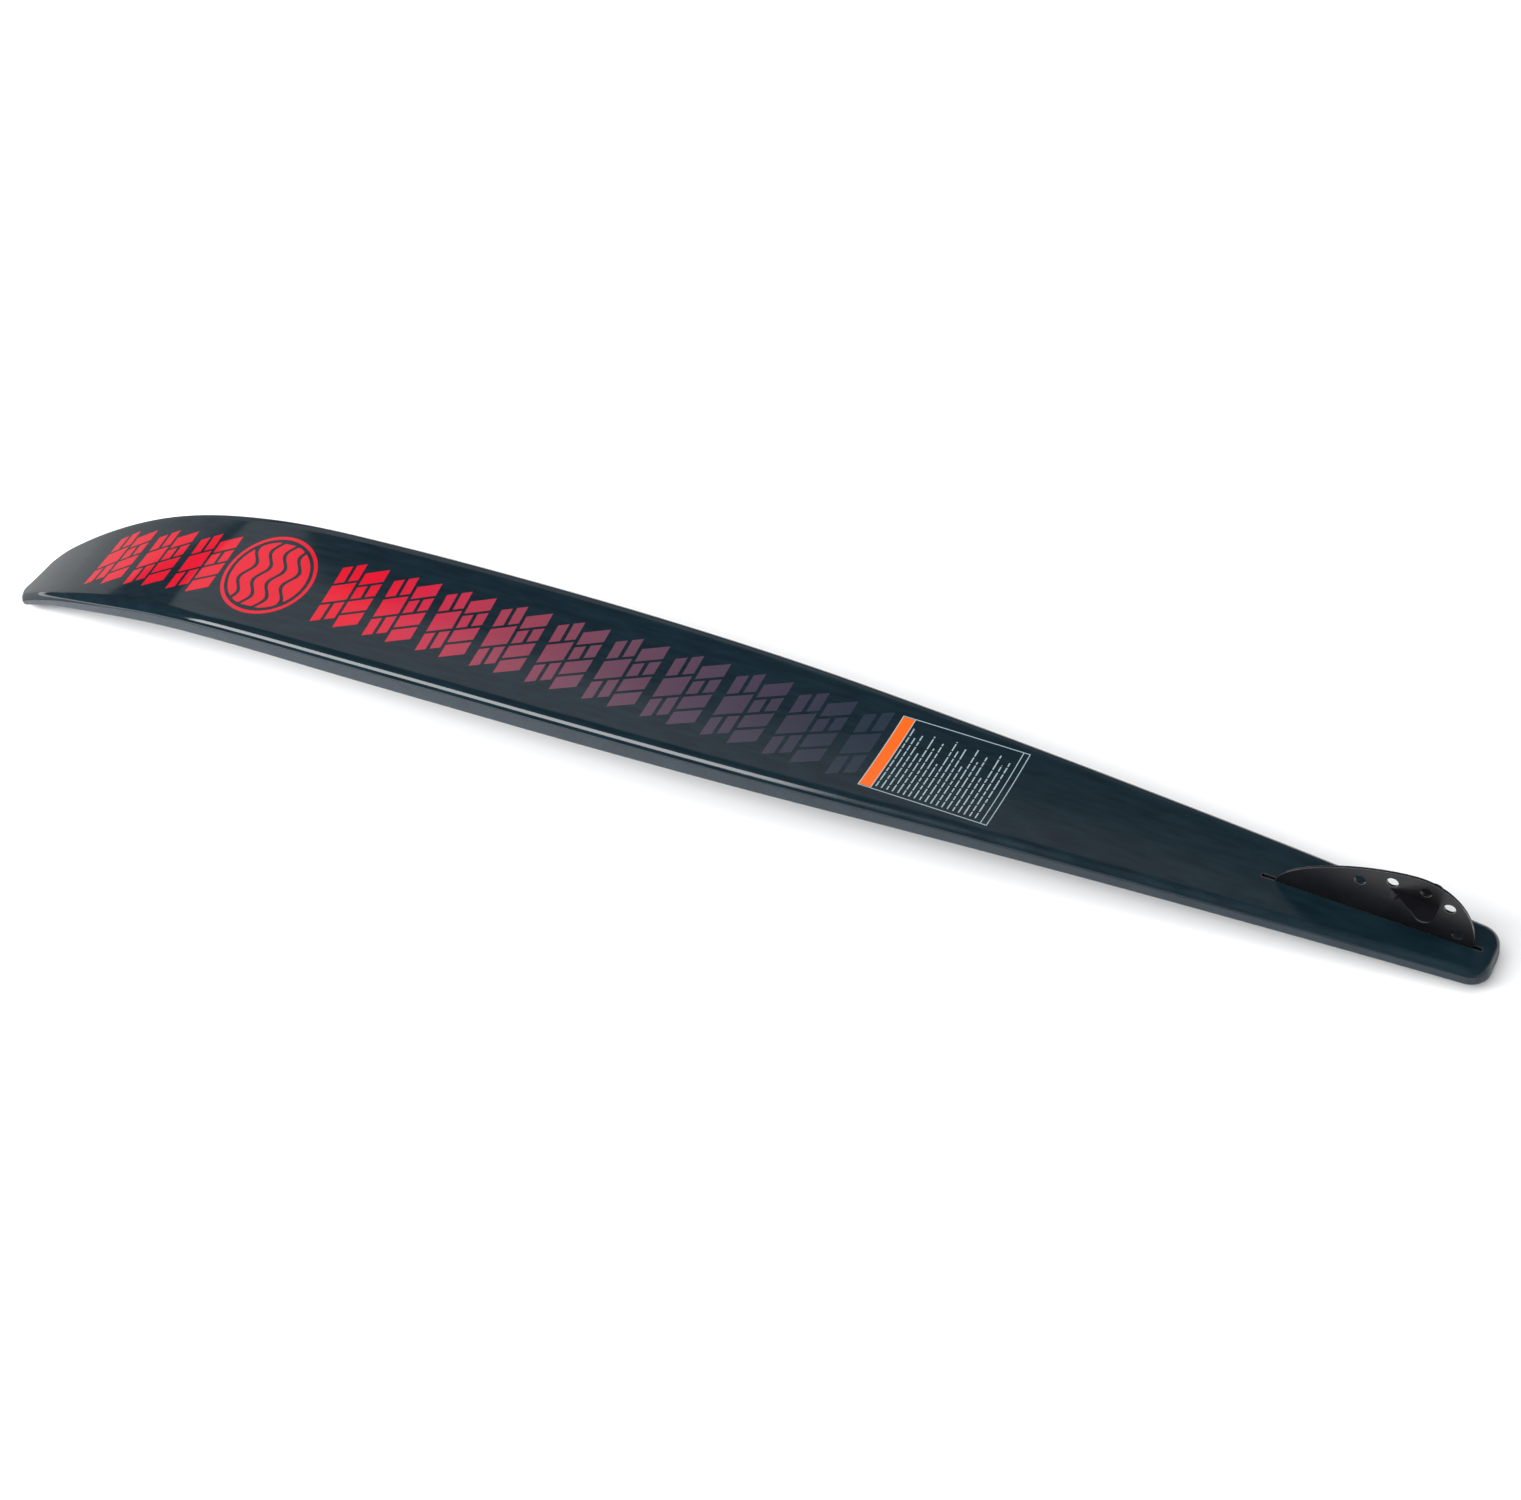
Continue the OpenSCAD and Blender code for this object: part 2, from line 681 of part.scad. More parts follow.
module fin_blade() {
    pinch_notch = [tang_foot - 1, pinch_z + pinch_r + depth_travel + free_gap];
    nut_notch = [tang_foot - 1, nut_top + screw_past_nut + depth_travel + free_gap];
    color("black") at_fin() difference() {
        union() {
            translate([0, fin_t / 2, 0]) rotate([90, 0, 0]) linear_extrude(fin_t) fin_outline();
            block(tang_ends, fin_t / 2, [tang_foot, eps]);
        }
        for (h = fin_holes)
            at(h[0], 0, h[1]) across(fin_hole / 2, [-fin_cut, fin_cut]);
        for (d = pinch_places)
            block([d - pinch_r - travel_to_tip - free_gap, d + pinch_r + travel_to_tail + free_gap],
                  fin_cut, pinch_notch);
        for (d = depth_screws)
            block([d - nut_core, d + nut_core], fin_cut, nut_notch);
        at(wing_pivot[0], 0, wing_pivot[1]) {
            across(wing_screw_r + run_gap, [-fin_cut, fin_cut]);
            lock_slot();
        }
    }
}

// Slot round the pivot for the lock screw
module lock_slot() {
    half = wing_screw_r + loose_gap;
    rotate([0, wing_angle, 0]) {
        translate([0, fin_cut, 0]) rotate([90, 0, 0]) rotate(-lock_swing)
            rotate_extrude(angle = 2 * lock_swing)
                translate([lock_reach - half, 0]) square([2 * half, 2 * fin_cut]);
        for (swing = [-lock_swing, lock_swing])
            rotate([0, swing, 0]) translate([lock_reach, 0, 0]) across(half, [-fin_cut, fin_cut]);
    }
}

// ---- wings -------------------------------------------------------------------------------------

wing_rise = 8.5;                          // from the pivot up to the wing's upper face
wing_front = wing_from_tail + wing_chord - wing_pivot[0];
wing_rear = wing_pivot[0] - wing_from_tail;
tip_round = 9;
round_steps = 12;
flange_corner = 4;
flange_rear = lock_reach + 1.5 * flange_corner;
wing_flange_foot = -5;

module at_wing() {
    at_fin() at(wing_pivot[0], 0, wing_pivot[1]) rotate([0, wing_angle, 0]) children();
}

// Wing on the +Y side: a swept plate and the flange that is screwed to the fin
module wing_half() {
    face = fin_t / 2 + run_gap;
    difference() {
        union() {
            translate([0, 0, wing_rise - wing_t]) linear_extrude(wing_t) wing_plan(face);
            translate([0, face + wing_t, 0]) rotate([90, 0, 0]) linear_extrude(wing_t)
                flange_plan();
        }
        for (x = [0, lock_reach])
            translate([x, 0, 0]) across(wing_screw_r + run_gap, [0, fin_cut]);
    }
}

// Seen from above: square at the fin, with a leading edge swept back to touch the rounded outer end
module wing_plan(face) {
    root = [-wing_front, face];
    centre = [wing_rear - tip_round, face + wing_span - tip_round];
    away = centre - root;
    sweep = atan2(away[1], away[0]) + asin(tip_round / norm(away));
    round_end = [for (i = [0:round_steps]) let (a = (sweep + 90) * i / round_steps)
        centre + tip_round * [cos(a), sin(a)]];
    polygon(concat([root, [wing_rear, face]], round_end));
}

// Seen from the side: the part of a wing that lies on the fin
module flange_plan() {
    length = wing_front + flange_rear;
    height = wing_rise - wing_flange_foot - eps;
    translate([-wing_front + flange_corner, wing_flange_foot])
        square([length - 2 * flange_corner, height]);
    translate([-wing_front, wing_flange_foot + flange_corner])
        square([length, height - flange_corner]);
    for (x = [-wing_front + flange_corner, flange_rear - flange_corner])
        translate([x, wing_flange_foot + flange_corner]) circle(r = flange_corner);
}

module wing_left() { color("black") at_wing() wing_half(); }
module wing_right() { color("black") at_wing() mirror([0, 1, 0]) wing_half(); }

// Screw and nut through the fin and both flanges
flange_outer = fin_t / 2 + run_gap + wing_t;
module wing_screw() {
    length = 2 * flange_outer + wing_nut_size[1] + screw_past_nut;
    color("silver") translate([0, flange_outer + wing_head[1], 0])
        to_right() socket_screw(wing_head, wing_screw_r, length);
}
module wing_nut() {
    color("silver") translate([0, -flange_outer, 0])
        to_right() hex_nut(wing_nut_size[0], wing_nut_size[1], wing_screw_r);
}
module wing_pivot_screw() { at_wing() wing_screw(); }
module wing_pivot_nut() { at_wing() wing_nut(); }
module wing_lock_screw() { at_wing() translate([lock_reach, 0, 0]) wing_screw(); }
module wing_lock_nut() { at_wing() translate([lock_reach, 0, 0]) wing_nut(); }

base_shell();
top_shell();
foam_core();
front_insert_plate();
rear_insert_plate();
front_binding_inserts();
rear_binding_inserts();
fin_insert_plate();
fin_block_inserts();
slot_liner();
fin_rail_left();
fin_rail_right();
rail_screws();
front_bridge();
rear_bridge();
bridge_screws();
pinch_bolts();
pinch_nuts();
fin_carriage();
fore_aft_screw();
front_depth_screw();
rear_depth_screw();
fin_blade();
front_depth_nut();
rear_depth_nut();
wing_left();
wing_right();
wing_pivot_screw();
wing_pivot_nut();
wing_lock_screw();
wing_lock_nut();
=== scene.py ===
"""Slalom water ski, base-up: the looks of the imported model, in its own frame, in metres."""
import math

import bmesh
import bpy
from mathutils import Matrix, Vector


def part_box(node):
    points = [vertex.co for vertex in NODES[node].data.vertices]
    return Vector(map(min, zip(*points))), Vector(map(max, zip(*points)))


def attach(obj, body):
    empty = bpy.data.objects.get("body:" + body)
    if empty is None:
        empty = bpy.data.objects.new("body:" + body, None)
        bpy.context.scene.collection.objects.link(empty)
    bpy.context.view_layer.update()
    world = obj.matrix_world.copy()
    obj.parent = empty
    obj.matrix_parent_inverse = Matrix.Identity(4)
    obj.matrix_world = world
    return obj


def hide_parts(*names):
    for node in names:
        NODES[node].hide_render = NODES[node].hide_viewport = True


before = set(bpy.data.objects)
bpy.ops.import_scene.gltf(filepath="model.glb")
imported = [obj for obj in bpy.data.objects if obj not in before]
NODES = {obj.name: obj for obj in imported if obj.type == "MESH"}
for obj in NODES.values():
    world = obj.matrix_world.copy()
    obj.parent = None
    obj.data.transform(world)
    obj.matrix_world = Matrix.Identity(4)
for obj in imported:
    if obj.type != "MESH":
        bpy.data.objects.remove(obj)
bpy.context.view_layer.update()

MM = 0.001

# ---- the ski's curves, in millimetres along s, the distance from the tip ------------------------

SHELL_LOW, SHELL_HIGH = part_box("base_shell")
LENGTH = (SHELL_HIGH[0] - SHELL_LOW[0]) / MM
STATIONS = (0, 0.05, 0.1, 0.2, 0.3, 0.4, 0.5, 0.6, 0.7, 0.8, 0.9, 1)
HALF_WIDTHS = (41, 59, 73.5, 85, 87.5, 86.5, 83.5, 77, 66, 54, 41.5, 28)
TIP_CORNER = 30
TAIL_CORNER = 17
TIP_KICK = 99.5
KICK_LENGTH = 473
KICK_POWER = 2.5
BOW = 34
TAIL_DROP = 83.5
TIP_THICKNESS = 12.2
MID_THICKNESS = 24
TAIL_THICKNESS = 16
THICKEST_AT = 0.4
TUNNEL = 2.5
RAIL_ROUND = 7
RAIL_POWER = 1.5
SEAM_DROP = 5
DECK_ROUND = 3
WALL = 1.3
END_WALL = 1.5
SEAM_HALF = 0.05
SEAM_CHAMFER = 0.45


def step_slope(i):
    return (HALF_WIDTHS[i + 1] - HALF_WIDTHS[i]) / (STATIONS[i + 1] - STATIONS[i])


def station_slope(i):
    last = len(STATIONS) - 1
    if i == 0:
        return step_slope(0)
    if i == last:
        return step_slope(last - 1)
    before = STATIONS[i] - STATIONS[i - 1]
    after = STATIONS[i + 1] - STATIONS[i]
    return (step_slope(i - 1) * after + step_slope(i) * before) / (before + after)


def outline(u):
    i = max(k for k in range(len(STATIONS) - 1) if k == 0 or u >= STATIONS[k])
    step = STATIONS[i + 1] - STATIONS[i]
    t = (u - STATIONS[i]) / step
    ends = HALF_WIDTHS[i] * (2 * t**3 - 3 * t**2 + 1) + HALF_WIDTHS[i + 1] * (3 * t**2 - 2 * t**3)
    slopes = station_slope(i) * (t**3 - 2 * t**2 + t) + station_slope(i + 1) * (t**3 - t**2)
    return ends + step * slopes


def corner_cut(distance, radius):
    if distance >= radius:
        return 0
    return radius - math.sqrt(max(0, radius**2 - (radius - distance) ** 2))


def half_width(s):
    return outline(s / LENGTH) - corner_cut(s, TIP_CORNER) - corner_cut(LENGTH - s, TAIL_CORNER)


def base_z(s):
    u = s / LENGTH
    kick = 1 - max(0, 1 - s / KICK_LENGTH) ** KICK_POWER
    return TIP_THICKNESS + TIP_KICK * kick + 4 * BOW * u * (1 - u) - TAIL_DROP * u


def thickness(s):
    u = s / LENGTH
    if u < THICKEST_AT:
        return MID_THICKNESS - (MID_THICKNESS - TIP_THICKNESS) * (1 - u / THICKEST_AT) ** 2
    fade = (1 + math.cos(math.pi * (u - THICKEST_AT) / (1 - THICKEST_AT))) / 2
    return TAIL_THICKNESS + (MID_THICKNESS - TAIL_THICKNESS) * fade


def deck_z(s):
    return base_z(s) - thickness(s)


def tunnel_depth(s):
    return TUNNEL * math.sqrt(max(0, math.sin(math.pi * s / LENGTH)))


def end_fade(s):
    """1 away from the tip and the tail, and 0 at them, where the base rounds over as along the rails."""
    d = min(s, LENGTH - s, RAIL_ROUND)
    return math.sqrt(max(0, 1 - (1 - d / RAIL_ROUND) ** 2))


def base_height(s, y):
    """Height of the base's surface inside the rail rounding."""
    flat = half_width(s) - RAIL_ROUND
    share = min(1, abs(y) / flat)
    seam = base_z(s) - SEAM_DROP
    full = base_z(s) + tunnel_depth(s) * share**2
    return seam + (full - seam) * end_fade(s)


# ---- cross-sections, as lists of (y, z) from the +Y seam over to the -Y seam ---------------------

RAIL_STEPS = 12
TUNNEL_STEPS = 12
DECK_ROUND_STEPS = 6
DECK_STEPS = 4
ON_MIDDLE = 0.01


def mirrored(half):
    """The half profile and its mirror image, which leaves out the point on the middle line."""
    return half + [(-y, z) for y, z in reversed(half) if y > ON_MIDDLE]


def base_profile(s, inset, chamfer):
    w = half_width(s) - inset
    flat = w - RAIL_ROUND
    bottom = base_z(s) - SEAM_DROP + SEAM_HALF
    fade = end_fade(s)
    ridge = bottom + (base_z(s) + tunnel_depth(s) - inset - bottom) * fade
    half = [(w - chamfer, bottom)]
    for i in range(RAIL_STEPS + 1):
        angle = math.pi / 2 * i / RAIL_STEPS
        z = bottom + (ridge - bottom) * math.sin(angle) ** (2 / RAIL_POWER)
        y = flat + RAIL_ROUND * max(0, math.cos(angle)) ** (2 / RAIL_POWER)
        half.append((y, max(z, bottom + min(chamfer, ridge - bottom))))
    for i in range(1, TUNNEL_STEPS + 1):
        share = 1 - i / TUNNEL_STEPS
        half.append((flat * share, ridge - tunnel_depth(s) * fade * (1 - share**2)))
    return mirrored(half)


def deck_profile(s, inset, chamfer):
    w = half_width(s) - inset
    seam = base_z(s) - SEAM_DROP - SEAM_HALF
    bottom = deck_z(s) + inset
    half = [(w - chamfer, seam), (w, seam - chamfer)]
    for i in range(DECK_ROUND_STEPS + 1):
        angle = math.pi / 2 * i / DECK_ROUND_STEPS
        half.append((w - DECK_ROUND * (1 - math.cos(angle)), bottom + DECK_ROUND * (1 - math.sin(angle))))
    for i in range(1, DECK_STEPS + 1):
        half.append(((w - DECK_ROUND) * (1 - i / DECK_STEPS), bottom))
    return mirrored(half)


def flattened(profile):
    """The profile's points spread along its seam, for the walls at the ends."""
    last = len(profile) - 1
    half = profile[0][0]
    return [(half * (1 - 2 * i / last), profile[0][1]) for i in range(last + 1)]


def sections():
    """Distances from the tip, closer together round the corners of the tip and the tail."""
    arc = [1 - math.cos(math.radians(a)) for a in range(3, 90, 6)]
    tip = [0] + [TIP_CORNER * a for a in arc]
    tail = [LENGTH - TAIL_CORNER * a for a in reversed(arc)] + [LENGTH]
    count = 230
    span = tail[0] - TIP_CORNER
    return tip + [TIP_CORNER + span * i / count for i in range(count)] + tail


# ---- making pieces ------------------------------------------------------------------------------

def piece(name, verts_mm, faces, body, material, sharp_degrees=35):
    """Object from points in millimetres with x measured from the tip, smooth except at sharp edges."""
    mesh = bpy.data.meshes.new(name)
    mesh.from_pydata([((x - LENGTH / 2) * MM, y * MM, z * MM) for x, y, z in verts_mm], [], faces)
    bm = bmesh.new()
    bm.from_mesh(mesh)
    bmesh.ops.recalc_face_normals(bm, faces=bm.faces)
    for face in bm.faces:
        face.smooth = True
    for edge in bm.edges:
        edge.smooth = edge.calc_face_angle(0) < math.radians(sharp_degrees)
    bm.to_mesh(mesh)
    bm.free()
    obj = bpy.data.objects.new(name, mesh)
    bpy.context.collection.objects.link(obj)
    mesh.materials.append(material)
    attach(obj, body)
    return obj


def loft(name, outers, inners, places, body, material):
    """Closed solid between an outer and an inner profile at each place."""
    rings = [outer + inner[::-1] for outer, inner in zip(outers, inners)]
    n = len(rings[0])
    half = n // 2
    last = (len(rings) - 1) * n
    verts = [(s, y, z) for s, ring in zip(places, rings) for y, z in ring]
    faces = [(k * n + i, k * n + (i + 1) % n, (k + 1) * n + (i + 1) % n, (k + 1) * n + i)
             for k in range(len(rings) - 1) for i in range(n)]
    for start in (0, last):
        faces += [(start + i, start + i + 1, start + n - 2 - i, start + n - 1 - i) for i in range(half - 1)]
    return piece(name, verts, faces, body, material)


def prism(outline_xy, low, high):
    """bmesh of an upright prism on a list of (x, y)."""
    bm = bmesh.new()
    bottom = [bm.verts.new((x, y, low)) for x, y in outline_xy]
    top = [bm.verts.new((x, y, high)) for x, y in outline_xy]
    bm.faces.new(bottom[::-1])
    bm.faces.new(top)
    for i in range(len(bottom)):
        j = (i + 1) % len(bottom)
        bm.faces.new((bottom[i], bottom[j], top[j], top[i]))
    return bm


def circle(radius, x=0, y=0, steps=40):
    angles = [2 * math.pi * i / steps for i in range(steps)]
    return [(x + radius * math.cos(a), y + radius * math.sin(a)) for a in angles]


def stadium(ends, half, steps=12):
    """Outline with round ends, along minus x, between two distances."""
    points = []
    for centre, turn in ((-ends[0] - half, -0.5), (-ends[1] + half, 0.5)):
        points += [(centre + half * math.cos(math.pi * (turn + i / steps)),
                    half * math.sin(math.pi * (turn + i / steps))) for i in range(steps + 1)]
    return points


def cut(obj, bm, matrix, operation="DIFFERENCE"):
    """Applies a boolean with a bmesh tool given in millimetres in its own frame."""
    mesh = bpy.data.meshes.new("tool")
    bmesh.ops.recalc_face_normals(bm, faces=bm.faces)
    bm.transform(Matrix.Scale(MM, 4) @ matrix)
    bm.to_mesh(mesh)
    bm.free()
    tool = bpy.data.objects.new("tool", mesh)
    bpy.context.collection.objects.link(tool)
    modifier = obj.modifiers.new("cut", "BOOLEAN")
    modifier.operation = operation
    modifier.object = tool
    modifier.solver = "EXACT"
    bpy.context.view_layer.update()
    evaluated = obj.evaluated_get(bpy.context.evaluated_depsgraph_get())
    obj.data = bpy.data.meshes.new_from_object(evaluated)
    obj.modifiers.clear()
    bpy.data.objects.remove(tool)


# ---- frames, in millimetres with the origin under the middle of the ski --------------------------

FIN_ZONE = 200
FIN_TILT = math.atan2(base_z(LENGTH - FIN_ZONE) - base_z(LENGTH), FIN_ZONE)
AT_FIN = Matrix.Translation((LENGTH / 2, 0, base_z(LENGTH))) @ Matrix.Rotation(FIN_TILT, 4, "Y")


def on_deck(rows):
    """Frame halfway between two rows of inserts, tilted with the deck."""
    low, high = (deck_z(s) for s in rows)
    middle = Vector(((rows[0] + rows[1] - LENGTH) / 2, 0, (low + high) / 2))
    return Matrix.Translation(middle) @ Matrix.Rotation(-math.atan2(high - low, rows[1] - rows[0]), 4, "Y")


LINER_ENDS = (9.5, 204)
LINER_HALF = 2.5
LINER_GAP = 0.05
PAD_ENDS = (5, 215)
PAD_HALF = 22
PAD_TOP = -17
PAD_HEIGHT = 1.8
SCREW_PLACES = (28, 82, 136, 190)
SCREW_Y = 14.6
SCREW_HOLE = 2.7
SCREW_HOLE_SPAN = (PAD_TOP - 1, PAD_TOP + 6)
FRONT_ROWS = (720, 890)
FRONT_SPAN = 76.2
REAR_ROWS = (1010, 1180)
REAR_SPAN = 63.5
INSERT_HOLE = 4.8
INSERT_HOLE_SPAN = (-2, 6)

# ---- materials ----------------------------------------------------------------------------------


class Shader:
    """A Principled material and short ways to add nodes to it."""

    def __init__(self, name, colour, roughness, metallic=0.0, ior=1.5):
        self.material = bpy.data.materials.new(name)
        self.material.use_nodes = True
        self.nodes = self.material.node_tree.nodes
        self.links = self.material.node_tree.links
        self.bsdf = self.nodes["Principled BSDF"]
        self.bsdf.inputs["Base Color"].default_value = (*colour, 1)
        self.bsdf.inputs["Roughness"].default_value = roughness
        self.bsdf.inputs["Metallic"].default_value = metallic
        self.bsdf.inputs["IOR"].default_value = ior
        self.place = self.nodes.new("ShaderNodeTexCoord").outputs["Object"]

    def link(self, output, name):
        self.links.new(output, self.bsdf.inputs[name])

    def stretched(self, scale):
        node = self.nodes.new("ShaderNodeMapping")
        node.inputs["Scale"].default_value = scale
        self.links.new(self.place, node.inputs["Vector"])
        return node.outputs["Vector"]

    def noise(self, scale, detail=3, stretch=(1, 1, 1)):
        node = self.nodes.new("ShaderNodeTexNoise")
        node.inputs["Scale"].default_value = scale
        node.inputs["Detail"].default_value = detail
        self.links.new(self.stretched(stretch), node.inputs["Vector"])
        return node.outputs["Fac"]

    def along_ski(self):
        """0 at the tip and 1 at the tail."""
        split = self.nodes.new("ShaderNodeSeparateXYZ")
        self.links.new(self.place, split.inputs["Vector"])
        return self.spread(split.outputs["X"], (SHELL_LOW[0], SHELL_HIGH[0]), (0, 1))

    def spread(self, value, source, target):
        node = self.nodes.new("ShaderNodeMapRange")
        node.inputs["From Min"].default_value, node.inputs["From Max"].default_value = source
        node.inputs["To Min"].default_value, node.inputs["To Max"].default_value = target
        self.links.new(value, node.inputs["Value"])
        return node.outputs["Result"]

    def ramp(self, value, stops):
        node = self.nodes.new("ShaderNodeValToRGB")
        ramp = node.color_ramp
        while len(ramp.elements) < len(stops):
            ramp.elements.new(0.5)
        for element, (position, colour) in zip(ramp.elements, stops):
            element.position = position
            element.color = (*colour, 1)
        self.links.new(value, node.inputs["Fac"])
        return node.outputs["Color"]

    def product(self, a, b):
        node = self.nodes.new("ShaderNodeMath")
        node.operation = "MULTIPLY"
        self.links.new(a, node.inputs[0])
        self.links.new(b, node.inputs[1])
        return node.outputs["Value"]

    def mix(self, factor, linked, colour):
        """From a linked colour, at factor 0, to a plain one, at 1."""
        node = self.nodes.new("ShaderNodeMix")
        node.data_type = "RGBA"
        start, end = (socket for socket in node.inputs if socket.type == "RGBA")
        share = next(socket for socket in node.inputs if socket.type == "VALUE")
        self.links.new(factor, share)
        self.links.new(linked, start)
        end.default_value = (*colour, 1)
        return next(socket for socket in node.outputs if socket.type == "RGBA")

    def bump(self, height, distance, strength=1.0):
        node = self.nodes.new("ShaderNodeBump")
        node.inputs["Distance"].default_value = distance
        node.inputs["Strength"].default_value = strength
        self.links.new(height, node.inputs["Height"])
        self.link(node.outputs["Normal"], "Normal")


def base_gloss(shader):
    """Gloss of the clear coat: polished at the tip, hand-sanded to satin at the tail."""
    along = shader.along_ski()
    sanding = shader.noise(90, 4, (0.25, 1, 1))
    satin = shader.ramp(along, ((0.0, (0.05,) * 3), (0.5, (0.09,) * 3),
                                (0.72, (0.2,) * 3), (1.0, (0.34,) * 3)))
    wear = shader.spread(sanding, (0.3, 0.7), (0.85, 1.15))
    shader.link(shader.product(satin, wear), "Roughness")
    shader.bump(shader.noise(55, 2), 0.00002, 0.25)


def base_laminate():
    shader = Shader("base_laminate", (0.004, 0.010, 0.016), 0.08)
    along = shader.along_ski()
    tint = shader.ramp(along, ((0.0, (0.0030, 0.0085, 0.0130)), (0.55, (0.0035, 0.0105, 0.0165)),
                               (0.8, (0.0032, 0.0100, 0.0150)), (1.0, (0.0040, 0.0130, 0.0190))))
    cloth = shader.spread(shader.noise(160, 5, (0.15, 1, 1)), (0.35, 0.65), (0.0, 0.35))
    shader.link(shader.mix(cloth, tint, (0.010, 0.026, 0.036)), "Base Color")
    base_gloss(shader)
    return shader.material


def graphic_ink(name, stops):
    """Printed film under the same clear coat, with a colour that changes along the ski."""
    shader = Shader(name, stops[0][1], 0.08)
    grain = shader.spread(shader.noise(700, 2), (0.3, 0.7), (0.0, 0.12))
    shader.link(shader.mix(grain, shader.ramp(shader.along_ski(), stops), (0.02, 0.02, 0.03)), "Base Color")
    base_gloss(shader)
    return shader.material


def plain_ink(name, colour):
    return graphic_ink(name, ((0.0, colour), (1.0, colour)))


def deck_laminate():
    """Moulded satin skin of the deck and the side walls, a little mottled."""
    shader = Shader("deck_laminate", (0.014, 0.024, 0.036), 0.42)
    shader.bsdf.inputs["Specular IOR Level"].default_value = 0.2
    tone = shader.ramp(shader.noise(35, 3), ((0.35, (0.018, 0.028, 0.039)), (0.65, (0.022, 0.034, 0.046))))
    shader.link(tone, "Base Color")
    shader.link(shader.spread(shader.noise(260, 3), (0.3, 0.7), (0.4, 0.48)), "Roughness")
    shader.bump(shader.noise(900, 2), 0.00002, 0.25)
    return shader.material


def anodised(name, colour, roughness):
    """Dyed anodised aluminium: fine rolling lines under an even satin layer."""
    shader = Shader(name, colour, roughness, metallic=0.35, ior=1.6)
    lines = shader.noise(900, 2, (0.03, 1, 1))
    shader.link(shader.spread(lines, (0.3, 0.7), (roughness - 0.06, roughness + 0.06)), "Roughness")
    cloud = shader.noise(40, 3)
    paler = tuple(1.6 * c for c in colour)
    shader.link(shader.ramp(cloud, ((0.35, colour), (0.7, paler))), "Base Color")
    shader.bump(lines, 0.00001, 0.3)
    return shader.material


def bare_metal(name, colour, roughness, stretch):
    """Machined or rolled metal with tool marks."""
    shader = Shader(name, colour, roughness, metallic=1.0)
    marks = shader.noise(1400, 3, stretch)
    shader.link(shader.spread(marks, (0.3, 0.7), (roughness - 0.08, roughness + 0.1)), "Roughness")
    darker = tuple(0.72 * c for c in colour)
    shader.link(shader.ramp(shader.noise(220, 3), ((0.35, darker), (0.65, colour))), "Base Color")
    shader.bump(marks, 0.000015, 0.4)
    return shader.material


def pressed_laminate():
    """Glass-fibre sheet: a faint plain weave in amber resin."""
    shader = Shader("pressed_laminate", (0.35, 0.24, 0.08), 0.45)
    wave = shader.nodes.new("ShaderNodeTexWave")
    wave.inputs["Scale"].default_value = 500
    wave.inputs["Distortion"].default_value = 1.5
    shader.links.new(shader.place, wave.inputs["Vector"])
    weave = shader.ramp(wave.outputs["Fac"], ((0.2, (0.28, 0.19, 0.06)), (0.8, (0.42, 0.31, 0.13))))
    shader.link(weave, "Base Color")
    shader.bump(wave.outputs["Fac"], 0.00005, 0.3)
    return shader.material


def foam():
    """Closed-cell foam: small cells and slight colour changes."""
    shader = Shader("foam", (0.6, 0.48, 0.24), 0.9)
    cells = shader.nodes.new("ShaderNodeTexVoronoi")
    cells.inputs["Scale"].default_value = 1200
    shader.links.new(shader.place, cells.inputs["Vector"])
    tone = shader.ramp(cells.outputs["Distance"], ((0.0, (0.42, 0.32, 0.15)), (0.7, (0.66, 0.55, 0.3))))
    shader.link(tone, "Base Color")
    shader.bump(cells.outputs["Distance"], 0.0001, 0.6)
    return shader.material


# Paler metal for the bevel faces on the fin's and the wings' edges: a painted edge highlight
PAINTED_EDGE_HIGHLIGHT = bare_metal("painted_edge_highlight", (0.30, 0.31, 0.33), 0.34, (0.1, 1, 1))
LINER = bare_metal("slot_edge", (0.42, 0.43, 0.44), 0.36, (0.1, 1, 1))
BLACK_STEEL = bare_metal("black_steel", (0.045, 0.045, 0.048), 0.35, (1, 1, 0.1))
BASE = base_laminate()
DECK = deck_laminate()
STEEL = bare_metal("stainless", (0.52, 0.52, 0.53), 0.28, (1, 1, 0.1))
BRASS = bare_metal("insert_brass", (0.62, 0.42, 0.16), 0.33, (1, 1, 0.1))
BLACK = anodised("black_anodised", (0.008, 0.008, 0.010), 0.36)
GREY = anodised("clear_anodised", (0.28, 0.29, 0.31), 0.34)
FOAM = foam()
PLATE = pressed_laminate()

# ---- the two shells -----------------------------------------------------------------------------


def hollow(profile, places):
    """Inner profiles at each place, closed up in the walls at the tip and the tail."""
    inners = []
    for s in places:
        inner = profile(s, WALL, 0)
        inners.append(flattened(inner) if min(s, LENGTH - s) < END_WALL else inner)
    return inners


